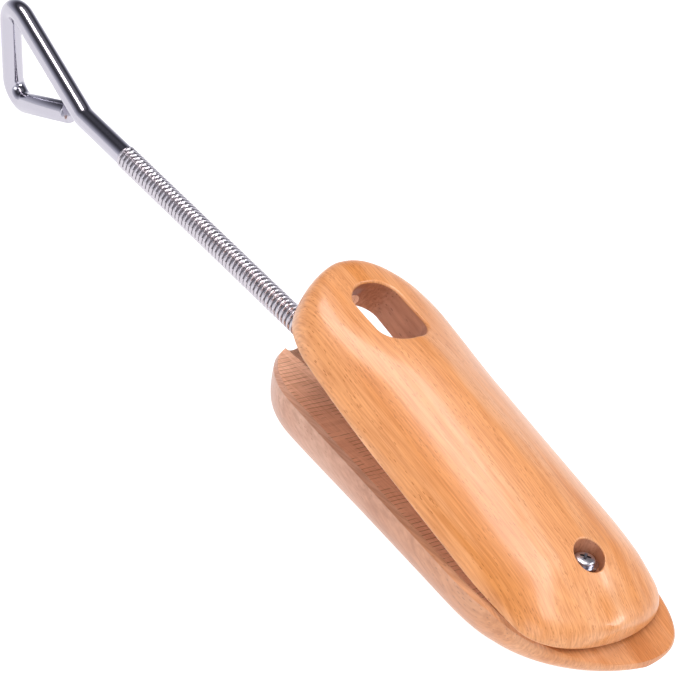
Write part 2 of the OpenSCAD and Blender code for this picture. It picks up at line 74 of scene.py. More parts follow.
toeScrew = {
    "shank": 4.0, "headDiameter": 8.0, "headHeight": 2.6, "ahead": 5.0, "counterboreDiameter": 13.0,
    "counterboreFloor": 12.0, "counterboreRim": 0.7, "washerLift": 0.6, "depth": 13.0, "recessHalf": 2.1,
    "recessWidth": 0.9, "holeRadius": 3.3, "holeTop": 14.0, "swingRadius": 4.75, "swingAhead": 1.4,
    "swingWeb": 4.0,
}
# how far a cutter stands past the surface that it cuts
past = 1.0

heelX = -lowerBlock["length"] / 2
ridgeX = heelX + opening["ridgeFromHeel"]
faceZ = lowerBlock["thickness"]
axisX = ridgeX + opening["axisHeight"] * math.tan(math.radians(opening["limit"] / 2))
axisZ = faceZ + opening["axisHeight"]
upperAxisZ = opening["axisHeight"] - opening["seatGap"]
bearingX = heelX + spindle["bearingFromHeel"]
bearingZ = faceZ + spindle["bearingHeight"]
lean = math.radians(spindle["leanShare"] * opening["angle"])
nutR = works["nutDiameter"] / 2
channelHalf = works["channelWidth"] / 2


def curveThrough(places, values, x):
    # smooth cubic through stations, its slope at each the harmonic mean of the two slopes beside it
    p, v = np.asarray(places, float), np.asarray(values, float)
    rise = np.diff(v) / np.diff(p)
    slope = np.r_[rise[0], np.zeros(len(p) - 2), rise[-1]]
    same = rise[:-1] * rise[1:] > 0
    slope[1:-1][same] = 2 / (1 / rise[:-1][same] + 1 / rise[1:][same])
    i = np.clip(np.searchsorted(p, x, side="right") - 1, 0, len(p) - 2)
    h = p[i + 1] - p[i]
    t = (x - p[i]) / h
    return (v[i] * (1 + 2 * t) * (1 - t) ** 2 + h * slope[i] * t * (1 - t) ** 2
            + v[i + 1] * t * t * (3 - 2 * t) - h * slope[i + 1] * t * t * (1 - t))


def roundEnd(d, r, power=2.3):
    # 1 along the block, falling to 0 over the last length r along a superellipse
    q = np.clip((r - d) / r, 0, 1)
    return (1 - q ** power) ** (1 / power)


def closerAtEnds(length, count):
    # places along a length, spaced as the cosine so that they crowd at both ends
    first = 1.5
    a = np.radians(first + np.arange(count) * (180 - 2 * first) / (count - 1))
    return length * (1 - np.cos(a)) / 2


def turnY(points, degrees):
    # points turned about Y by the right-hand rule
    a = math.radians(degrees)
    x, y, z = points[..., 0], points[..., 1], points[..., 2]
    return np.stack([x * math.cos(a) + z * math.sin(a), y, -x * math.sin(a) + z * math.cos(a)], -1)


def upperToRow(points):
    # from the upper block's own frame, heel end at x 0 and flat face at z 0, to the row frame
    own = points - np.array([opening["axisInUpper"], 0, upperAxisZ])
    return turnY(own, opening["angle"]) + np.array([axisX, 0, axisZ])


def spindleToRow(points):
    # from the spindle's frame, bearing at the origin and the toe along x, to the row frame
    return turnY(points, math.degrees(lean)) + np.array([bearingX, 0, bearingZ])


def makeObject(name, points, faces):
    # mesh object in metres from points in millimetres
    mesh = bpy.data.meshes.new(name)
    mesh.from_pydata((np.asarray(points) * mm).tolist(), [], faces)
    mesh.update()
    obj = bpy.data.objects.new(name, mesh)
    bpy.context.scene.collection.objects.link(obj)
    return obj


def gridFaces(rows, columns):
    # quads between neighbouring points of a grid whose columns are joined in a ring
    r = np.arange(rows - 1)[:, None]
    c = np.arange(columns)[None, :]
    d = (c + 1) % columns
    quads = np.stack([r * columns + c, r * columns + d, (r + 1) * columns + d, (r + 1) * columns + c], -1)
    return quads.reshape(-1, 4)


def ringSolid(name, rings):
    # closed solid through rings of equal count, each end closed by a fan to the ring's middle
    rows, columns = rings.shape[:2]
    points = np.concatenate([rings.reshape(-1, 3), rings[:1].mean(1), rings[-1:].mean(1)])
    c = np.arange(columns)
    d = (c + 1) % columns
    start = np.stack([np.full(columns, rows * columns), d, c], -1)
    last = (rows - 1) * columns
    end = np.stack([np.full(columns, rows * columns + 1), last + c, last + d], -1)
    return makeObject(name, points, gridFaces(rows, columns).tolist() + start.tolist() + end.tolist())


def inRow(points):
    # the row frame itself, for what is already given in it
    return points


def boxSolid(name, low, high, place):
    # box between two corners, turned into place by a function
    x0, y0, z0 = low
    x1, y1, z1 = high
    rings = np.array([[[x, y0, z0], [x, y1, z0], [x, y1, z1], [x, y0, z1]] for x in (x0, x1)], float)
    return ringSolid(name, place(rings))


def rodSolid(name, radius, x0, x1, place, z=0.0, sides=64):
    # cylinder along x
    a = np.linspace(0, 2 * np.pi, sides, endpoint=False)
    ring = np.stack([np.zeros(sides), radius * np.cos(a), radius * np.sin(a) + z], -1)
    return ringSolid(name, place(np.stack([ring + [x0, 0, 0], ring + [x1, 0, 0]])))


def prismSolid(name, outline, half, place):
    # outline in x and z, carried along y between minus and plus half
    xz = np.asarray(outline, float)
    rings = np.stack([np.stack([xz[:, 0], np.full(len(xz), s * half), xz[:, 1]], -1) for s in (-1, 1)])
    return ringSolid(name, place(rings))


def outwards(obj):
    # closed solid with all its faces pointing out
    bm = bmesh.new()
    bm.from_mesh(obj.data)
    bmesh.ops.recalc_face_normals(bm, faces=bm.faces[:])
    bm.to_mesh(obj.data)
    bm.free()
    return obj


def cutAway(obj, cutters):
    # each cutter is taken out of the object, and the result is kept as its mesh
    outwards(obj)
    for cutter in cutters:
        outwards(cutter)
        step = obj.modifiers.new("cut", "BOOLEAN")
        step.operation = "DIFFERENCE"
        step.solver = "EXACT"
        step.object = cutter
        bpy.context.view_layer.update()
        done = bpy.data.meshes.new_from_object(obj.evaluated_get(bpy.context.evaluated_depsgraph_get()))
        obj.modifiers.clear()
        obj.data = done
        bpy.data.objects.remove(cutter)


def smoothBut(obj, degrees):
    # smooth shading, with edges sharper than an angle left crisp
    obj.data.shade_smooth()
    obj.data.set_sharp_from_angle(angle=math.radians(degrees))


def finishPiece(obj, body, nodes, materials, degrees=35):
    # gets its materials and its shading, stands for its nodes and rides on its body
    for material in materials:
        obj.data.materials.append(material)
    smoothBut(obj, degrees)
    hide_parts(*nodes)
    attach(obj, body)


def linear(code):
    # sRGB hex colour as linear numbers, opaque
    c = np.array([int(code[i:i + 2], 16) for i in (1, 3, 5)]) / 255
    return tuple(np.where(c <= 0.04045, c / 12.92, ((c + 0.055) / 1.055) ** 2.4)) + (1.0,)


def addNode(tree, kind, settings=None, inputs=None, links=None):
    # one node with its settings, its own socket values and its incoming links
    node = tree.nodes.new(kind)
    for key, value in (settings or {}).items():
        setattr(node, key, value)
    for key, value in (inputs or {}).items():
        node.inputs[key].default_value = value
    for key, socket in (links or {}).items():
        tree.links.new(socket, node.inputs[key])
    return node


def newMaterial(name):
    # material with one principled shader: the material, its node tree and the shader
    material = bpy.data.materials.new(name)
    material.use_nodes = True
    tree = material.node_tree
    tree.nodes.clear()
    shader = addNode(tree, "ShaderNodeBsdfPrincipled")
    addNode(tree, "ShaderNodeOutputMaterial", links={"Surface": shader.outputs[0]})
    return material, tree, shader


def ramp(tree, factor, stops, interpolation="EASE"):
    # colour ramp through (place, hex colour) stops
    node = addNode(tree, "ShaderNodeValToRGB", links={"Fac": factor})
    node.color_ramp.interpolation = interpolation
    while len(node.color_ramp.elements) < len(stops):
        node.color_ramp.elements.new(0.5)
    for element, (place, code) in zip(node.color_ramp.elements, stops):
        element.position = place
        element.color = linear(code)
    return node.outputs["Color"]


def mixColour(tree, factor, a, b, mode="MIX"):
    # two colours mixed by a factor, each a socket or a value
    node = addNode(tree, "ShaderNodeMix", {"data_type": "RGBA", "blend_type": mode})
    for index, value in ((0, factor), (6, a), (7, b)):
        if isinstance(value, (int, float, tuple)):
            node.inputs[index].default_value = value
        else:
            tree.links.new(value, node.inputs[index])
    return node.outputs[2]


def woodCoordinates(tree, tilt, stretch, shift=(0, 0, 0)):
    # object coordinates turned level with the block, then scaled to patterns per metre along, across and up
    place = addNode(tree, "ShaderNodeTexCoord").outputs["Object"]
    level = addNode(tree, "ShaderNodeMapping", inputs={"Rotation": (0, -math.radians(tilt), 0)},
                    links={"Vector": place}).outputs[0]
    return addNode(tree, "ShaderNodeMapping", inputs={"Scale": stretch, "Location": shift},
                   links={"Vector": level}).outputs[0]


def perMetre(width, shares):
    # patterns per metre along, across and up, from a width in millimetres and a share for each way
    return tuple(1000 / width * share for share in shares)


beech = {
    "pale": "#E9B081", "middle": "#E5A46D", "deep": "#DD9554", "fleck": "#A2602F", "fibreShade": "#E2D6CB",
    "bandWidth": 14.0, "bandShares": (0.12, 1.0, 0.4), "fibreWidth": 0.5, "fibreShares": (0.03, 1.0, 0.2),
    "fleckLength": 2.0, "fleckWidth": 0.25, "fleckShares": (0.45, 0.5, 0.16), "patches": (40, 260, 260),
    "toeFrom": -0.02, "toeTo": 0.085, "bumpStrength": 0.12, "bumpDepth": 0.0001, "coatRoughness": 0.12,
}


def bandColours(tree, bands, colours):
    # the wood's three colours over the noise of its broad bands
    return ramp(tree, bands, [(0.34, colours["pale"]), (0.5, colours["middle"]), (0.66, colours["deep"])])


def beechMaterial(name, tilt, colours, roughness, coat, shift=(0, 0, 0), litToeColours=None):
    # beech, planed and lacquered: broad bands along the grain, fine fibres and short dark flecks.
    # Where lit toe colours are given, the bands change to them on the way to the toe: painted light,
    # the colours differing only in how light falls on the sides and on the toe.
    material, tree, shader = newMaterial(name)
    bandScale = perMetre(beech["bandWidth"], beech["bandShares"])
    bands = addNode(tree, "ShaderNodeTexNoise", inputs={"Scale": 1.0, "Detail": 3.0, "Distortion": 0.6},
                    links={"Vector": woodCoordinates(tree, tilt, bandScale, shift)})
    colour = bandColours(tree, bands.outputs["Fac"], colours)
    if litToeColours:
        litToeColour = bandColours(tree, bands.outputs["Fac"], litToeColours)
        place = addNode(tree, "ShaderNodeTexCoord").outputs["Object"]
        along = addNode(tree, "ShaderNodeSeparateXYZ", links={"Vector": place}).outputs["X"]
        ahead = addNode(tree, "ShaderNodeMapRange", links={"Value": along},
                        inputs={"From Min": beech["toeFrom"], "From Max": beech["toeTo"]}).outputs[0]
        # painted light: the blend to the lit toe colours
        colour = mixColour(tree, ahead, colour, litToeColour)
    fibreScale = perMetre(beech["fibreWidth"], beech["fibreShares"])
    fine = addNode(tree, "ShaderNodeTexNoise", inputs={"Scale": 1.0, "Detail": 2.0},
                   links={"Vector": woodCoordinates(tree, tilt, fibreScale, shift)})
    fineShade = ramp(tree, fine.outputs["Fac"], [(0.32, beech["fibreShade"]), (0.68, "#FFFFFF")], "LINEAR")
    colour = mixColour(tree, 1.0, colour, fineShade, "MULTIPLY")
    alongShare, acrossShare, upShare = beech["fleckShares"]
    wide = 1000 / beech["fleckWidth"]
    fleckScale = (1000 / beech["fleckLength"] * alongShare, wide * acrossShare, wide * upShare)
    flecks = addNode(tree, "ShaderNodeTexVoronoi", inputs={"Scale": 1.0, "Randomness": 1.0},
                     links={"Vector": woodCoordinates(tree, tilt, fleckScale, shift)})
    fleckShape = ramp(tree, flecks.outputs["Distance"], [(0.15, "#F0F0F0"), (0.27, "#000000")])
    patches = addNode(tree, "ShaderNodeTexNoise", inputs={"Scale": 1.0, "Detail": 2.0},
                      links={"Vector": woodCoordinates(tree, tilt, beech["patches"], shift)})
    patchShape = ramp(tree, patches.outputs["Fac"], [(0.36, "#303030"), (0.6, "#F4F4F4")])
    amount = mixColour(tree, 1.0, fleckShape, patchShape, "MULTIPLY")
    colour = mixColour(tree, amount, colour, linear(colours["fleck"]))
    tree.links.new(colour, shader.inputs["Base Color"])
    bump = addNode(tree, "ShaderNodeBump", links={"Height": fine.outputs["Fac"]},
                   inputs={"Strength": beech["bumpStrength"], "Distance": beech["bumpDepth"]})
    tree.links.new(bump.outputs[0], shader.inputs["Normal"])
    shader.inputs["Roughness"].default_value = roughness
    shader.inputs["Coat Weight"].default_value = coat
    shader.inputs["Coat Roughness"].default_value = beech["coatRoughness"]
    return material


# the bands of a wave texture lie about 0.31 units apart, so waveUnit over a spacing in millimetres scales it
rawFace = {
    "pale": "#F6C5A5", "dark": "#DCA686", "cut": "#99694F", "sawSpacing": 2.4, "cutShares": (1.0, 0.05, 0.05),
    "fibreWidth": 0.7, "fibreShares": (0.06, 1.0, 1.0), "waveUnit": 310.0, "wander": 60.0,
    "breaks": (70, 110, 110), "breakShift": (7, 3, 5), "bumpStrength": 0.5, "bumpDepth": 0.0002,
    "roughness": 0.85,
}


def sawnMaterial(name, tilt):
    # beech as the saw left it: unlacquered and dull, with broken dark saw lines across the grain
    material, tree, shader = newMaterial(name)
    cutScale = perMetre(rawFace["sawSpacing"], rawFace["cutShares"])
    cuts = addNode(tree, "ShaderNodeTexNoise", inputs={"Scale": 1.0, "Detail": 3.0, "Roughness": 0.7},
                   links={"Vector": woodCoordinates(tree, tilt, cutScale)})
    fibreScale = perMetre(rawFace["fibreWidth"], rawFace["fibreShares"])
    fibres = addNode(tree, "ShaderNodeTexNoise", inputs={"Scale": 1.0, "Detail": 3.0},
                     links={"Vector": woodCoordinates(tree, tilt, fibreScale)})
    both = mixColour(tree, 0.5, cuts.outputs["Fac"], fibres.outputs["Fac"])
    colour = ramp(tree, both, [(0.36, rawFace["dark"]), (0.6, rawFace["pale"])], "LINEAR")
    sawScale = (rawFace["waveUnit"] / rawFace["sawSpacing"], rawFace["wander"], rawFace["wander"])
    saw = addNode(tree, "ShaderNodeTexWave", {"bands_direction": "X"},
                  {"Scale": 1.0, "Distortion": 3.5, "Detail": 3.0},
                  {"Vector": woodCoordinates(tree, tilt, sawScale)})
    line = ramp(tree, saw.outputs["Fac"], [(0.0, "#D8D8D8"), (0.13, "#000000")])
    breaks = addNode(tree, "ShaderNodeTexNoise", inputs={"Scale": 1.0, "Detail": 2.0},
                     links={"Vector": woodCoordinates(tree, tilt, rawFace["breaks"], rawFace["breakShift"])})
    breakShape = ramp(tree, breaks.outputs["Fac"], [(0.4, "#000000"), (0.52, "#FFFFFF")])
    thin = mixColour(tree, 1.0, line, breakShape, "MULTIPLY")
    colour = mixColour(tree, thin, colour, linear(rawFace["cut"]))
    tree.links.new(colour, shader.inputs["Base Color"])
    bump = addNode(tree, "ShaderNodeBump", links={"Height": both},
                   inputs={"Strength": rawFace["bumpStrength"], "Distance": rawFace["bumpDepth"]})
    tree.links.new(bump.outputs[0], shader.inputs["Normal"])
    shader.inputs["Roughness"].default_value = rawFace["roughness"]
    return material


polish = {"smoothest": 0.8, "roughest": 1.3, "bumpDepth": 0.00005}


def metalMaterial(name, code, roughness, grit, strength):
    # plated or bare steel: one colour with a faint uneven polish, so that its highlights break up a little
    material, tree, shader = newMaterial(name)
    place = addNode(tree, "ShaderNodeTexCoord").outputs["Object"]
    noise = addNode(tree, "ShaderNodeTexNoise", inputs={"Scale": 1000 / grit, "Detail": 3.0},
                    links={"Vector": place})
    lowest, highest = roughness * polish["smoothest"], roughness * polish["roughest"]
    rough = addNode(tree, "ShaderNodeMapRange", inputs={"To Min": lowest, "To Max": highest},
                    links={"Value": noise.outputs["Fac"]})
    tree.links.new(rough.outputs[0], shader.inputs["Roughness"])
    bump = addNode(tree, "ShaderNodeBump", inputs={"Strength": strength, "Distance": polish["bumpDepth"]},
                   links={"Height": noise.outputs["Fac"]})
    tree.links.new(bump.outputs[0], shader.inputs["Normal"])
    shader.inputs["Base Color"].default_value = linear(code)
    shader.inputs["Metallic"].default_value = 1.0
    return material


upperBeech = beechMaterial("lacqueredBeechUpper", opening["angle"], beech, 0.36, 0.3)
lowerColours = {"pale": "#D5A286", "middle": "#CF9677", "deep": "#C48866", "fleck": "#A8704C"}
# the lower block's toe: more orange than its sides, painted light for how the lit toe looks, not a change in
# the wood
litToeColours = {"pale": "#E0A272", "middle": "#D8945E", "deep": "#CC844C"}
lowerBeech = beechMaterial("lacqueredBeechLower", 0.0, lowerColours, 0.4, 0.3, (3.1, 1.7, 0.4), litToeColours)
# walls of the slot and the counterbore: darker and redder than the outside, partly for their end grain and
# partly as painted shade of the hollows
slotShadeColours = {"pale": "#CC9070", "middle": "#C2825F", "deep": "#B57552", "fleck": "#8E5636"}
shadedSlotBeech = beechMaterial("lacqueredBeechSlotShaded", opening["angle"], slotShadeColours, 0.55, 0.1)
upperRaw = sawnMaterial("sawnBeechUpper", opening["angle"])
lowerRaw = sawnMaterial("sawnBeechLower", 0.0)
nickel = metalMaterial("nickelPlatedSteel", "#BDBBC5", 0.13, 1.6, 0.12)
threadNickel = metalMaterial("nickelOnRolledThread", "#C9C5CC", 0.3, 0.9, 0.2)
# thread root: a dark nickel, painted shade in the grooves
shadedRootNickel = metalMaterial("nickelInThreadRootShade", "#6E6A70", 0.45, 0.9, 0.3)
headNickel = metalMaterial("nickelPlatedScrew", "#CFCED6", 0.32, 1.2, 0.2)
bareSteel = metalMaterial("rolledSteel", "#9A9A9C", 0.4, 0.8, 0.4)
# inside the screw's cross recess: a dark steel, painted shade
shadedRecessSteel = metalMaterial("nickelInRecessShade", "#55535A", 0.45, 1.0, 0.3)
zincSteel = metalMaterial("zincPlatedSteel", "#B4B8BE", 0.3, 0.9, 0.3)
print("materials made")


def blockWidth(block, x):
    # half width of a block: its plan's curve times the rounding of both ends
    ends = roundEnd(x, block["heelRound"]) * roundEnd(block["length"] - x, block["toeRound"])
    return curveThrough(np.array(block["widthPlaces"]) * block["length"], block["halfWidths"], x) * ends


# Upper block
def upperCrest(x):
    # height along the middle, drawn in a little over the last millimetres of both ends
    heel = 1 - upperBlock["heelTuck"] * (1 - roundEnd(x, upperBlock["tuckLength"]))
    toe = 1 - upperBlock["toeTuck"] * (1 - roundEnd(upperBlock["length"] - x, upperBlock["tuckLength"]))
    return curveThrough(upperBlock["heightPlaces"], upperBlock["heights"], x) * heel * toe


def upperPower(x):
    # power of the section's superellipse along the block
    return curveThrough(upperBlock["powerPlaces"], upperBlock["sectionPowers"], x)


def upperTop(x, y):
    # height of the crown over the flat face: a superellipse across the block at each x
    p = upperPower(x)
    return upperCrest(x) * np.clip(1 - np.abs(y / blockWidth(upperBlock, x)) ** p, 0, 1) ** (1 / p)


def upperRings(count, ringCount):
    # sections along the block: an eased edge, the superellipse from side to side, and the flat face
    x = closerAtEnds(upperBlock["length"], count)
    w, h, p = blockWidth(upperBlock, x)[:, None], upperCrest(x)[:, None], upperPower(x)[:, None]
    a = np.linspace(np.pi, 0, ringCount)
    y = w * np.sign(np.cos(a)) * np.abs(np.cos(a)) ** (2 / p)
    z = h * np.abs(np.sin(a)) ** (2 / p)
    ease = np.minimum(upperBlock["edgeEase"], w * section["easeShare"])
    y = y * (1 - ease / w * np.clip(1 - z / ease, 0, 1) ** 2)
    flat = np.linspace(1, -1, section["flatPoints"] + 2)[1:-1][None, :]
    y = np.concatenate([y, flat * (w - ease)], 1)
    z = np.concatenate([z, np.zeros((count, section["flatPoints"]))], 1)
    return np.stack([np.repeat(x[:, None], y.shape[1], 1), y, z], -1)


def slotOutline(grow, lean=0.0):
    # rounded rectangle of the finger slot, grown outwards: an arc round each corner, then a straight side
    arcPoints, sidePoints = 24, 12
    r = slot["corner"]
    x0, x1 = slot["fromHeel"] - lean + r, slot["fromHeel"] + slot["length"] - r
    h = slot["width"] / 2 - r
    arcs = []
    for cx, cy, start in ((x1, h, 0), (x0, h, 90), (x0, -h, 180), (x1, -h, 270)):
        a = np.radians(start + np.linspace(0, 90, arcPoints))
        arcs.append(np.stack([cx + (r + grow) * np.cos(a), cy + (r + grow) * np.sin(a)], -1))
    steps = np.linspace(0, 1, sidePoints + 2)[1:-1, None]
    parts = []
    for arc, nextArc in zip(arcs, arcs[1:] + arcs[:1]):
        parts += [arc, arc[-1] + (nextArc[0] - arc[-1]) * steps]
    return np.concatenate(parts)


def circleOutline(radius, cx, count=96):
    # circle in x and y about a place on the middle line
    a = np.linspace(0, 2 * np.pi, count, endpoint=False)
    return np.stack([cx + radius * np.cos(a), radius * np.sin(a)], -1)


def lippedCutter(name, outline, floorOutline, floor, lip):
    # hole whose rim rounds over onto the crown: its outline grows along an arc of radius lip
    rings = [np.c_[floorOutline, np.full(len(floorOutline), floor)]]
    for angle in np.radians((0, 12, 24, 36, 48, 60, 72, 80)):
        ring = outline(lip * (1 - np.cos(angle)))
        top = upperTop(ring[:, 0], ring[:, 1])
        rings.append(np.c_[ring, top - lip * (1 - np.sin(angle))])
    lift = 6.0
    rings.append(rings[-1] + [0, 0, lift])
    return ringSolid(name, upperToRow(np.stack(rings)))


def nutPlace(openAngle):
    # the nut's centre in the lower block's frame at an opening angle in degrees
    along = works["nutAt"] + (opening["angle"] - openAngle) * works["nutRate"]
    a = np.radians(spindle["leanShare"] * openAngle)
    return np.stack([bearingX - along * np.cos(a), bearingZ + along * np.sin(a)], -1)


def inUpper(points, openAngle):
    # x and z in the row frame as the upper block sees them at an opening angle
    a = np.radians(openAngle)
    dx, dz = points[..., 0] - axisX, points[..., 1] - axisZ
    return np.stack([opening["axisInUpper"] + dx * np.cos(a) - dz * np.sin(a),
                     upperAxisZ + dx * np.sin(a) + dz * np.cos(a)], -1)


def rampOutline(near, far, spare):
    # strip between two distances above the nut's path, seen from the upper block and longer by a spare
    angles = np.linspace(0, opening["limit"], 15)
    path = inUpper(nutPlace(angles), angles)
    along = np.gradient(path, axis=0)
    along /= np.linalg.norm(along, axis=1)[:, None]
    across = np.stack([-along[:, 1], along[:, 0]], -1)
    sides = []
    for d in (near, far):
        line = path + across * d
        sides.append(np.concatenate([line[:1] - along[:1] * (works["heelTail"] + spare), line,
                                     line[-1:] + along[-1:] * (works["toeTail"] + spare)]))
    return np.concatenate([sides[0], sides[1][::-1]])


upperWood = ringSolid("upperWood", upperToRow(upperRings(190, 96)))
bearingIn = inUpper(np.array([bearingX, bearingZ]), 0.0)
screwIn = opening["axisInUpper"] + toeScrew["ahead"]
rampTop = nutR + opening["seatGap"] + works["plate"]


def boreOutline(grow):
    # circle of the toe screw's counterbore, grown outwards
    return circleOutline(toeScrew["counterboreDiameter"] / 2 + grow, screwIn)


def upright(radius, cx, z0, z1):
    # cylinder along z in the upper block's frame
    sides = 48
    ring = circleOutline(radius, cx, sides)
    return ringSolid("upright", upperToRow(np.stack([np.c_[ring, np.full(sides, z)] for z in (z0, z1)])))


cutAway(upperWood, [
    lippedCutter("slotCutter", slotOutline, slotOutline(0, slot["lean"]), -2 * past, upperBlock["lip"]),
    lippedCutter("boreCutter", boreOutline, boreOutline(0), toeScrew["counterboreFloor"],
                 toeScrew["counterboreRim"]),
    upright(toeScrew["holeRadius"], screwIn, -past, toeScrew["holeTop"]),
    upright(toeScrew["swingRadius"], screwIn + toeScrew["swingAhead"], -past,
            toeScrew["counterboreFloor"] - toeScrew["swingWeb"]),
    rodSolid("groove", works["boreRadius"], -past, bearingIn[0], upperToRow, bearingIn[1]),
    boxSolid("grooveMouth", (-past, -works["boreRadius"], -past),
             (bearingIn[0], works["boreRadius"], bearingIn[1]), upperToRow),
    prismSolid("nutRoom", rampOutline(-works["nutDiameter"], rampTop, works["nutRoomSpare"]), channelHalf,
               upperToRow),
    boxSolid("bracketRoom", (bearingIn[0] - works["bracketRoom"], -channelHalf - works["sideGap"], -past),
             (bearingIn[0] + works["bracketRoom"], channelHalf + works["sideGap"],
              bearingIn[1] + works["cheek"] + works["swing"]), upperToRow),
])
print("upper block cut", len(upperWood.data.polygons))


# Lower block
def lowerDepth(x):
    # depth of the section under the inner face: less by the toe spring ahead of the ball, drawn in a little
    # at the heel, and past the flat sole by what is cut off there
    ahead = x / lowerBlock["length"] - lowerBlock["springFrom"]
    t = np.clip(ahead / (1 - lowerBlock["springFrom"]), 0, None)
    tuck = lowerBlock["heelTuck"] / faceZ * (1 - roundEnd(x, lowerBlock["heelTuckLength"]))
    return (faceZ + lowerBlock["soleCut"] - lowerBlock["toeSpring"] * t * t) * (1 - tuck)


def toeSide(x):
    # sideways lean of the section towards the tip of the toe, growing as the square of the way to it
    t = np.clip((x / lowerBlock["length"] - lowerBlock["leanFrom"]) / (1 - lowerBlock["leanFrom"]), 0, None)
    return lowerBlock["toeLean"] * t * t


def bevelDrop(x):
    # how far the section hangs below the inner face ahead of the ridge, so that the toe keeps its width
    angle = math.radians(opening["limit"] + opening["bevelSpare"])
    return np.maximum((x - opening["ridgeFromHeel"]) * math.tan(angle) - lowerBlock["bevelStock"], 0)


def lowerRings(count, ringCount):
    # sections along the block: a superellipse hung below the flat inner face, with its top edge eased
    x = closerAtEnds(lowerBlock["length"], count)
    w, d = blockWidth(lowerBlock, x)[:, None], lowerDepth(x)[:, None]
    a = np.linspace(0, np.pi, ringCount)
    power = 2 / lowerBlock["edgePower"]
    y = w * np.sign(np.cos(a)) * np.abs(np.cos(a)) ** power
    drop = bevelDrop(x)[:, None]
    z = np.maximum(faceZ - drop - (d - drop) * np.abs(np.sin(a)) ** power, 0.0)
    ease = np.minimum(lowerBlock["edgeEase"], w * section["easeShare"])
    y = y * (1 - ease / w * np.clip(1 - (faceZ - drop - z) / ease, 0, 1) ** 2)
    flat = np.linspace(-1, 1, section["flatPoints"] + 2)[1:-1][None, :]
    y = np.concatenate([y, flat * (w - ease)], 1) + toeSide(x)[:, None]
    z = np.concatenate([z, np.full((count, section["flatPoints"]), faceZ)], 1)
    return np.stack([np.repeat(heelX + x[:, None], y.shape[1], 1), y, z], -1)


def onBevel(points):
    # from a frame whose origin lies on the rocking ridge, turned down by the bevel's angle
    return turnY(points, opening["limit"] + opening["bevelSpare"]) + np.array([ridgeX, 0, faceZ])


nutShut = nutPlace(np.array(0.0))
nutOpen = nutPlace(np.array(opening["limit"]))
slideLength = float(np.linalg.norm(nutOpen - nutShut))
slideTilt = math.degrees(math.atan2(nutOpen[1] - nutShut[1], nutOpen[0] - nutShut[0]))


def onSlide(points):
    # from the slide plate's frame, its face at z 0 under the nut's closed place
    lowered = points - np.array([0, 0, nutR + opening["seatGap"]])
    return turnY(lowered, -slideTilt) + np.array([nutShut[0], 0, nutShut[1]])


lowerWood = ringSolid("lowerWood", lowerRings(200, 96))
slideReach = works["slideEnd"] + works["sideGap"]
bracketReach = works["bracketReach"] + works["sideGap"]
bracketBase = bearingZ - works["bracketFloor"] - works["bracketSheet"]
# larger than the toe that it cuts the bevel on
bevelBox = {"length": 80.0, "half": 80.0, "height": 30.0}
cutAway(lowerWood, [
    boxSolid("bevel", (0, -bevelBox["half"], 0), (bevelBox["length"], bevelBox["half"], bevelBox["height"]),
             onBevel),
    rodSolid("notch", works["boreRadius"], heelX - past, bearingX, inRow, bearingZ),
    boxSolid("slideSeat", (-slideReach, -channelHalf, -works["plate"]),
             (slideLength + slideReach, channelHalf, works["seatHeight"]), onSlide),
    boxSolid("bracketSeat", (bearingX - bracketReach, -channelHalf, bracketBase),
             (bearingX + bracketReach, channelHalf, faceZ + past), inRow),
])
print("lower block cut", len(lowerWood.data.polygons))


def faceCentres(obj):
    # middle of every face in millimetres, and its normal
    count = len(obj.data.polygons)
    centres, normals = np.empty(count * 3), np.empty(count * 3)
    obj.data.polygons.foreach_get("center", centres)
    obj.data.polygons.foreach_get("normal", normals)
    return centres.reshape(-1, 3) / mm, normals.reshape(-1, 3)


upperPaint = {
    "skin": 0.05, "facing": 0.98, "worksSpare": 0.5, "worksTop": 17.0, "pastSlot": 2.0, "worksToe": 150.0,
    "grooveSpare": 0.1, "endFacing": 0.5, "wallSpare": 0.25, "slotDepth": 1.0, "boreDepth": 0.9,
    "floorSpare": 0.1,
}


def paintUpper(obj):
    # the flat face, the works' pockets and the rod's groove are raw, the slot's walls and the inside of the
    # counterbore have a darker, redder lacquered colour, partly their end grain and partly painted shade, and
    # the rest has the block's own
    centres, normals = faceCentres(obj)
    own = turnY(centres - [axisX, 0, axisZ], -opening["angle"]) + [opening["axisInUpper"], 0, upperAxisZ]
    x, y, z = own.T
    depth = upperTop(x, y) - z
    slotEnd = slot["fromHeel"] + slot["length"]
    wallSpare = upperPaint["wallSpare"]
    facesDown = turnY(normals, -opening["angle"])[:, 2] < -upperPaint["facing"]
    inWorks = (np.abs(y) < channelHalf + upperPaint["worksSpare"]) & (z < upperPaint["worksTop"])
    inWorks &= (x > slotEnd + upperPaint["pastSlot"]) & (x < upperPaint["worksToe"])
    grooveR = works["boreRadius"] + upperPaint["grooveSpare"]
    inGroove = (np.hypot(y, np.maximum(z - bearingIn[1], 0)) < grooveR) & (z < bearingIn[1] + grooveR)
    inGroove &= (x < slot["fromHeel"]) & (np.abs(normals[:, 0]) < upperPaint["endFacing"])
    raw = ((z < upperPaint["skin"]) & facesDown) | inWorks | inGroove
    inSlot = (np.abs(y) < slot["width"] / 2 + wallSpare) & (depth > upperPaint["slotDepth"])
    inSlot &= (x > slot["fromHeel"] - slot["lean"] - wallSpare) & (x < slotEnd + wallSpare)
    inBore = np.hypot(x - screwIn, y) < toeScrew["counterboreDiameter"] / 2 + wallSpare
    inBore &= z > toeScrew["counterboreFloor"] - upperPaint["floorSpare"]
    inBore &= depth > upperPaint["boreDepth"]
    # slot walls and counterbore take the darker colours, in part painted shade of the hollows
    index = np.where((inSlot & ~raw) | inBore, 2, np.where(raw, 1, 0))
    obj.data.polygons.foreach_set("material_index", index.astype(np.int32))


lowerPaint = {
    "skin": 0.05, "facing": 0.98, "worksSpare": 0.1, "worksFloor": 8.0, "worksFromHeel": 50.0,
    "worksToe": 62.0,
}


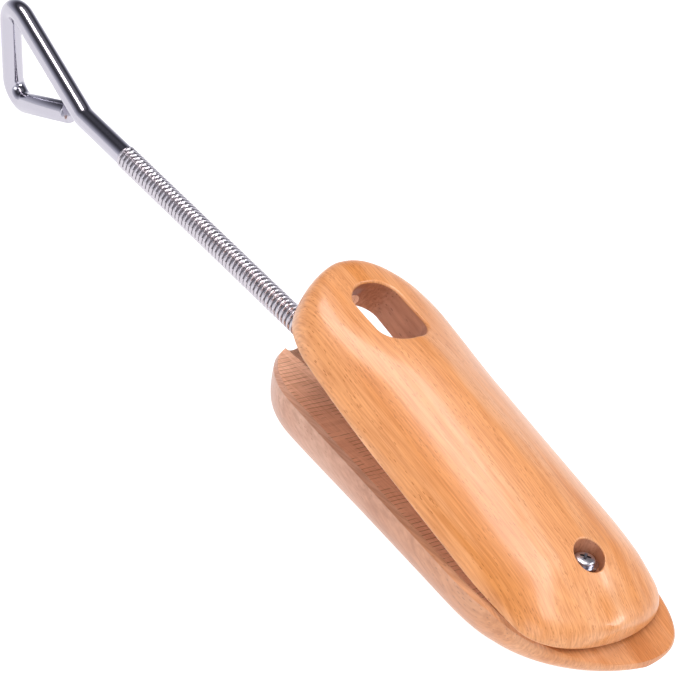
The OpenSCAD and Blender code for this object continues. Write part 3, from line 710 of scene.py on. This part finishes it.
def paintLower(obj):
    # the flat inner face, the works' pockets and the rod's notch are raw, the rest is lacquered
    centres, normals = faceCentres(obj)
    x, y, z = centres.T
    inWorks = (z > lowerPaint["worksFloor"]) & (z < faceZ)
    inWorks &= np.abs(y) < channelHalf + lowerPaint["worksSpare"]
    inWorks &= (x > heelX + lowerPaint["worksFromHeel"]) & (x < lowerPaint["worksToe"])
    inNotch = np.hypot(y, z - bearingZ) < works["boreRadius"] + lowerPaint["skin"]
    raw = (z > faceZ - lowerPaint["skin"]) & (normals[:, 2] > lowerPaint["facing"])
    raw = raw | inWorks | inNotch
    obj.data.polygons.foreach_set("material_index", raw.astype(np.int32))


finishPiece(upperWood, "upper", ["upper_block"], [upperBeech, upperRaw, shadedSlotBeech])
paintUpper(upperWood)
finishPiece(lowerWood, "lower", ["lower_block"], [lowerBeech, lowerRaw])
paintLower(lowerWood)
print("blocks finished")


# Spindle
def threadRings(x0, x1):
    # rings of a right-hand thread, whose crest goes once round in each pitch
    sides, perPitch = 44, 9
    count = int((x1 - x0) / spindle["pitch"] * perPitch)
    x = np.linspace(x0, x1, count)[:, None]
    a = np.linspace(0, 2 * np.pi, sides, endpoint=False)[None, :]
    phase = 2 * np.pi * x / spindle["pitch"] - a
    height = np.clip(spindle["threadLevel"] + spindle["threadSwing"] * np.cos(phase), 0, 1)
    r = spindle["threadDiameter"] / 2 - spindle["threadDepth"] * (1 - height)
    return np.stack([x + 0 * a, r * np.cos(a), r * np.sin(a)], -1)


def bentPath():
    # the rod's centre line in the bow's plane: straight lengths joined by arcs, as (x, y, heading) rows
    tip = math.atan2(spindle["bowHalf"], spindle["bowHeight"])
    corner = math.pi / 2 + tip
    legLength = math.hypot(spindle["bowHalf"], spindle["bowHeight"])
    rodR = spindle["rodDiameter"] / 2
    bendPoints = 18
    tipTrim = spindle["tipBend"] * math.tan(tip / 2)
    cornerTrim = spindle["bowBend"] * math.tan(corner / 2)
    runs = [
        (spindle["plainLength"] - tipTrim, tip, spindle["tipBend"]),
        (legLength - tipTrim - cornerTrim, -corner, spindle["bowBend"]),
        (2 * spindle["bowHalf"] - 2 * cornerTrim, -corner, spindle["bowBend"]),
        (legLength - cornerTrim - rodR / math.sin(tip) - spindle["endGap"], 0.0, 0.0),
    ]
    x, y, heading = 0.0, 0.0, 0.0
    rows = [(-spindle["overlap"], 0.0, 0.0)]
    for length, turn, bend in runs:
        x, y = x + length * math.cos(heading), y + length * math.sin(heading)
        rows.append((x, y, heading))
        if bend:
            side = math.copysign(1.0, turn)
            cx, cy = x - side * bend * math.sin(heading), y + side * bend * math.cos(heading)
            for t in np.linspace(0, turn, bendPoints)[1:]:
                sine, cosine = math.sin(heading + t), math.cos(heading + t)
                rows.append((cx + side * bend * sine, cy - side * bend * cosine, heading + t))
            x, y, heading = rows[-1]
    return np.array(rows)


def bentRings(radius, chamfer=0.5, sides=48):
    # circle carried along the bent path, drawn in at the cut end
    rows = bentPath()
    last = rows[-1]
    before = last - [chamfer * math.cos(last[2]), chamfer * math.sin(last[2]), 0]
    rows = np.concatenate([rows[:-1], [before, last]])
    radii = np.full(len(rows), radius)
    radii[-1] -= chamfer
    a = np.linspace(0, 2 * np.pi, sides, endpoint=False)
    across = np.stack([-np.sin(rows[:, 2]), np.cos(rows[:, 2]), np.zeros(len(rows))], -1)
    up = np.array([0, 0, 1.0])
    centre = np.c_[rows[:, :2], np.zeros(len(rows))][:, None, :]
    spokes = across[:, None, :] * np.cos(a)[None, :, None] + up * np.sin(a)[None, :, None]
    return centre + radii[:, None, None] * spokes


def bowToSpindle(points):
    # the path runs away from the toe, and its plane is turned about the rod
    flipped = points * np.array([-1, -1, 1])
    t = math.radians(spindle["bowTurn"])
    y = flipped[..., 1] * math.cos(t) - flipped[..., 2] * math.sin(t)
    z = flipped[..., 1] * math.sin(t) + flipped[..., 2] * math.cos(t)
    return np.stack([flipped[..., 0] + threadBack, y, z], -1)


def joinObjects(objects, name):
    # several solids of one piece as one mesh
    points, faces, start = [], [], 0
    for obj in objects:
        own = np.empty(len(obj.data.vertices) * 3)
        obj.data.vertices.foreach_get("co", own)
        points.append(own.reshape(-1, 3) / mm)
        faces += [[i + start for i in polygon.vertices] for polygon in obj.data.polygons]
        start += len(obj.data.vertices)
        bpy.data.objects.remove(obj)
    return makeObject(name, np.concatenate(points), faces)


thrust = spindle["bearingLength"] / 2 + opening["seatGap"]
shoulder = -thrust - spindle["washer"]
collarStart = thrust + spindle["washer"]
threadBack = -spindle["bearingFromHeel"] / math.cos(lean) - spindle["threadOut"]
threadPart = outwards(ringSolid("thread", spindleToRow(threadRings(threadBack, shoulder))))
bowPart = outwards(ringSolid("bow", spindleToRow(bowToSpindle(bentRings(spindle["rodDiameter"] / 2)))))
neckEnd = collarStart + spindle["collar"] + spindle["neckSpare"]
neckStart = shoulder - spindle["overlap"]
neckPart = outwards(rodSolid("neck", spindle["neckDiameter"] / 2, neckStart, neckEnd, spindleToRow))
spindleRod = joinObjects([threadPart, bowPart, neckPart], "spindleRod")
spindlePaint = {"backSpare": 0.3, "shoulderSpare": 0.1, "rootShare": 0.6}


def paintSpindle(obj):
    # the bow and the neck are bright nickel, the thread is duller, and its root is dark: painted shade in the
    # grooves
    own = turnY(faceCentres(obj)[0] - [bearingX, 0, bearingZ], -math.degrees(lean))
    fromAxis = np.hypot(own[:, 1], own[:, 2])
    onThread = own[:, 0] > threadBack + spindlePaint["backSpare"]
    onThread &= own[:, 0] < shoulder - spindlePaint["shoulderSpare"]
    rootTop = spindle["threadDiameter"] / 2 - spindle["threadDepth"] * spindlePaint["rootShare"]
    # faces deep in the thread's grooves get the painted shade
    inShadedRoot = onThread & (fromAxis < rootTop)
    obj.data.polygons.foreach_set("material_index", onThread.astype(np.int32) + inShadedRoot.astype(np.int32))


finishPiece(spindleRod, "spindle", ["spindle"], [nickel, threadNickel, shadedRootNickel], 50)
paintSpindle(spindleRod)
print("spindle made", len(spindleRod.data.polygons))

# Toe screw
headZ = axisZ + toeScrew["counterboreFloor"] - upperAxisZ + toeScrew["washerLift"] + spindle["washer"]
screwX = axisX + toeScrew["ahead"]


def revolve(name, profile, cx, sides=72):
    # profile of (radius, height) turned about a vertical axis
    a = np.linspace(0, 2 * np.pi, sides, endpoint=False)
    rings = [np.stack([cx + r * np.cos(a), r * np.sin(a), np.full(sides, z)], -1) for r, z in profile]
    return ringSolid(name, np.stack(rings))


screwHead = {
    "domeFrom": 0.45, "domeEnd": 1.45, "domePoints": 14, "underEase": 0.2, "recessDepth": 1.7,
    "recessTurn": 40.0, "recessLong": 1.1, "recessFlat": 0.5, "recessFlare": 1.4, "paintReach": 1.2,
    "paintDepth": 0.12,
}
headR, headH = toeScrew["headDiameter"] / 2, toeScrew["headHeight"]
shankR = toeScrew["shank"] / 2


def domeHeight(sine):
    # height of the domed top where the angle of its profile has this sine
    return headZ + headH * (screwHead["domeFrom"] + (1 - screwHead["domeFrom"]) * sine)


domeAngles = np.linspace(0, screwHead["domeEnd"], screwHead["domePoints"])
dome = [(headR * math.cos(t), domeHeight(math.sin(t))) for t in domeAngles]
headPart = revolve("toeScrewHead", [
    (shankR, faceZ - toeScrew["depth"]), (shankR, headZ), (headR - screwHead["underEase"], headZ),
    (headR, headZ + screwHead["underEase"]),
] + dome, screwX)


def crossBar(angle):
    # one bar of the cross recess: its walls lean outwards, and its floor rises to both ends
    r, w = toeScrew["recessHalf"], toeScrew["recessWidth"] / 2
    end, flat, wide = r * screwHead["recessLong"], r * screwHead["recessFlat"], w * screwHead["recessFlare"]
    crown = headZ + headH
    low, top = crown - screwHead["recessDepth"], crown + past
    floorLine = ((-end, crown), (-flat, low), (flat, low), (end, crown))
    rings = np.stack([[[x, -w, z], [x, w, z], [x, wide, top], [x, -wide, top]] for x, z in floorLine])
    c, s = math.cos(angle), math.sin(angle)
    x, y = rings[..., 0] * c - rings[..., 1] * s, rings[..., 0] * s + rings[..., 1] * c
    return ringSolid("crossBar", np.stack([x + screwX, y, rings[..., 2]], -1))


def paintHead(obj):
    # the recess is dark, painted shade inside it, and the rest is bright
    x, y, z = (faceCentres(obj)[0] - [screwX, 0, 0]).T
    fromMiddle = np.hypot(x, y)
    surface = domeHeight(np.sqrt(np.clip(1 - (fromMiddle / headR) ** 2, 0, 1)))
    # faces inside the recess get the painted shade
    deep = (fromMiddle < toeScrew["recessHalf"] * screwHead["paintReach"]) & (z > headZ)
    deep &= z < surface - screwHead["paintDepth"]
    obj.data.polygons.foreach_set("material_index", deep.astype(np.int32))


cutAway(headPart, [crossBar(math.radians(screwHead["recessTurn"] + turn)) for turn in (0, 90)])
finishPiece(headPart, "lower", ["toe_screw"], [headNickel, shadedRecessSteel], 30)
paintHead(headPart)
print("toe screw made")

# Carried-over pieces
finishes = {
    "slide_plate": bareSteel, "slide_plate_screws": zincSteel, "bearing_bracket": bareSteel,
    "bracket_screws": zincSteel, "toe_washer": nickel, "bearing_block": bareSteel,
    "thrust_washers": zincSteel, "retaining_collar": bareSteel, "collar_pin": zincSteel,
    "barrel_nut": zincSteel, "ramp_plate": bareSteel, "ramp_plate_screws": zincSteel,
}
for nodeName, material in finishes.items():
    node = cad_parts[nodeName]
    if not node.material_slots:
        node.data.materials.append(material)
    for place in node.material_slots:
        place.material = material
print("carried-over pieces finished")

# Floor, light and camera
studio = {
    "floorHalf": 3000.0, "floorDepth": 10.0, "floorGap": 0.2, "floorBase": "#8C8C90", "floorRoughness": 0.9,
    "floorGlow": "#FFFFFF", "glowStrength": 1.0,
    "sky": ((0.0, "#F0F0F5"), (0.12, "#DEDEE8"), (0.32, "#A6A6B2"), (0.5, "#6E6E78"), (0.66, "#3A3A40"),
            (0.8, "#55555D"), (1.0, "#9A9AA2")),
    "skyStrength": 1.0,
    "aim": (0.0, 0.0, 0.03),
    "lights": (
        ("overhead", (0.0, -0.2, 1.18), (1.5, 0.36), 14.5, "#FFF4F0"),
        ("behind", (0.9, 0.86, 0.8), (0.75, 0.34), 7.0, "#FFFFFF"),
        ("front", (1.0, -1.2, 0.9), (1.0, 1.0), 6.5, "#FFFFFF"),
    ),
}
wide = studio["floorHalf"]
floor = boxSolid("floor", (-wide, -wide, -studio["floorDepth"]), (wide, wide, -studio["floorGap"]), inRow)
floorMaterial, _, floorShader = newMaterial("paleFloor")
floorShader.inputs["Base Color"].default_value = linear(studio["floorBase"])
floorShader.inputs["Roughness"].default_value = studio["floorRoughness"]
floorShader.inputs["Emission Color"].default_value = linear(studio["floorGlow"])
floorShader.inputs["Emission Strength"].default_value = studio["glowStrength"]
floor.data.materials.append(floorMaterial)

world = bpy.data.worlds.new("studio")
bpy.context.scene.world = world
world.use_nodes = True
sky = world.node_tree
direction = addNode(sky, "ShaderNodeTexCoord").outputs["Generated"]
height = addNode(sky, "ShaderNodeSeparateXYZ", links={"Vector": direction}).outputs["Z"]
sky.links.new(ramp(sky, height, studio["sky"], "LINEAR"), sky.nodes["Background"].inputs["Color"])
sky.nodes["Background"].inputs["Strength"].default_value = studio["skyStrength"]
for lightName, place, size, power, code in studio["lights"]:
    light = bpy.data.lights.new(lightName, "AREA")
    light.shape = "RECTANGLE"
    light.size, light.size_y = size
    light.energy = power
    light.color = linear(code)[:3]
    lamp = bpy.data.objects.new(lightName, light)
    lamp.rotation_mode = "QUATERNION"
    lamp.rotation_quaternion = (Vector(studio["aim"]) - Vector(place)).to_track_quat("-Z", "Y")
    lamp.location = place
    bpy.context.scene.collection.objects.link(lamp)

# The camera fitted to the photograph: its eye in millimetres from the ridge, its rotation vector, and its
# focal length and the picture's width in pixels
view = {
    "fromRidge": (612.93, -723.26, 618.18), "turn": (1.83, 1.05, -0.347), "focus": 3094.5,
    "imageWidth": 679, "sensor": 36.0, "far": 20.0,
}


def turnMatrix(vector):
    # rotation by a vector's length about its direction
    v = np.array(vector)
    angle = float(np.linalg.norm(v))
    k = v / angle
    cross = np.array([[0, -k[2], k[1]], [k[2], 0, -k[0]], [-k[1], k[0], 0]])
    return np.eye(3) + math.sin(angle) * cross + (1 - math.cos(angle)) * cross @ cross


# The rotation's rows point to the image's right, down the image and into the scene
rows = turnMatrix(view["turn"])
cameraData = bpy.data.cameras.new("camera")
cameraData.sensor_width = view["sensor"]
cameraData.lens = view["sensor"] * view["focus"] / view["imageWidth"]
cameraData.clip_end = view["far"]
camera = bpy.data.objects.new("camera", cameraData)
placed = np.eye(4)
placed[:3, :3] = np.stack([rows[0], -rows[1], -rows[2]], 1)
placed[:3, 3] = (np.array(view["fromRidge"]) + [ridgeX, 0, faceZ]) * mm
camera.matrix_world = Matrix(placed.tolist())
bpy.context.scene.collection.objects.link(camera)
bpy.context.scene.camera = camera
bpy.context.scene.view_settings.view_transform = "Standard"
print("floor, light and camera set")
